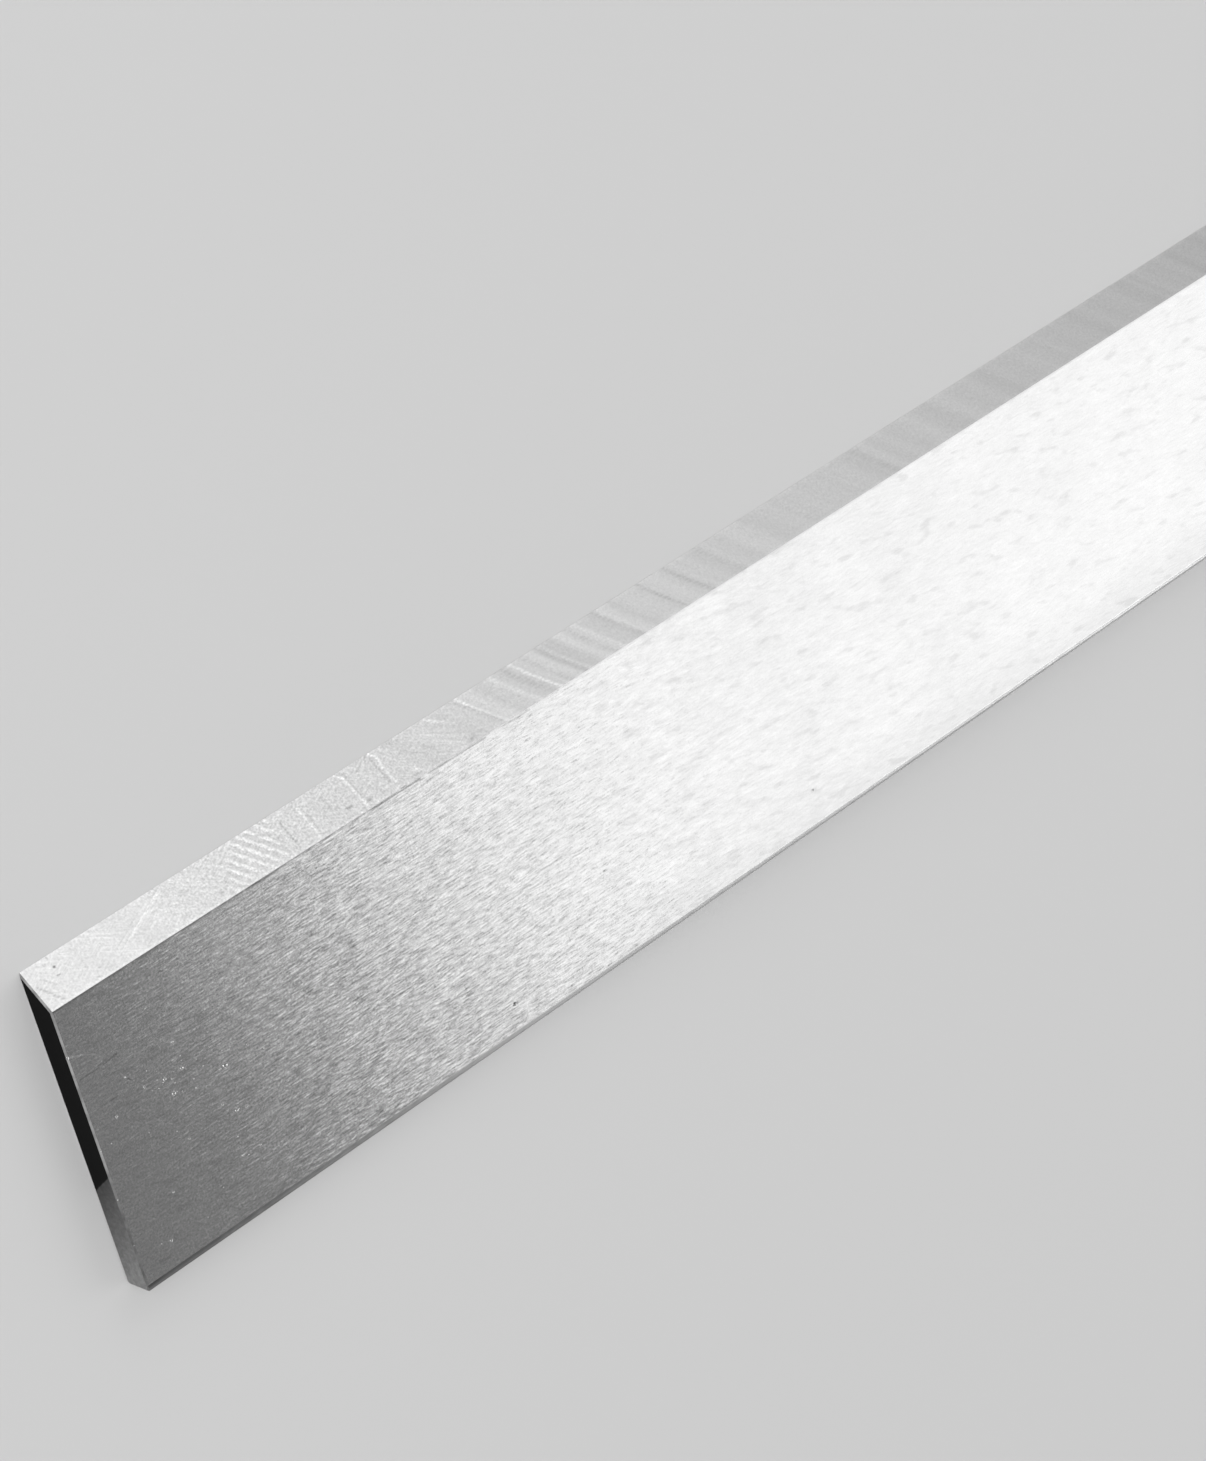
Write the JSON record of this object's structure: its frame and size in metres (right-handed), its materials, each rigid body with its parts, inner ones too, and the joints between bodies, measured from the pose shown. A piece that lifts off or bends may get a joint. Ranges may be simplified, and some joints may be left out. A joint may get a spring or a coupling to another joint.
{
  "type": "planer knife",
  "caption": "Flat steel planer knife ground to a single bevel along one long edge, with a broken heel and square-cut ends.",
  "frame": {"origin": "centre of the back face, halfway along the knife and halfway across its width", "axes": "+X along the knife, +Y from the heel towards the cutting edge, +Z from the back face up through the front face, on whose side the bevel is ground"},
  "size_m": [0.31, 0.03, 0.003],
  "materials": {
    "knife_steel": "surface-ground faces with short lengthwise grind marks, a cup-wheel-ground bevel, and dark heat scale on the cut ends"
  },
  "bodies": {
    "root": {"knife": "knife_steel"}
  },
  "joints": []
}
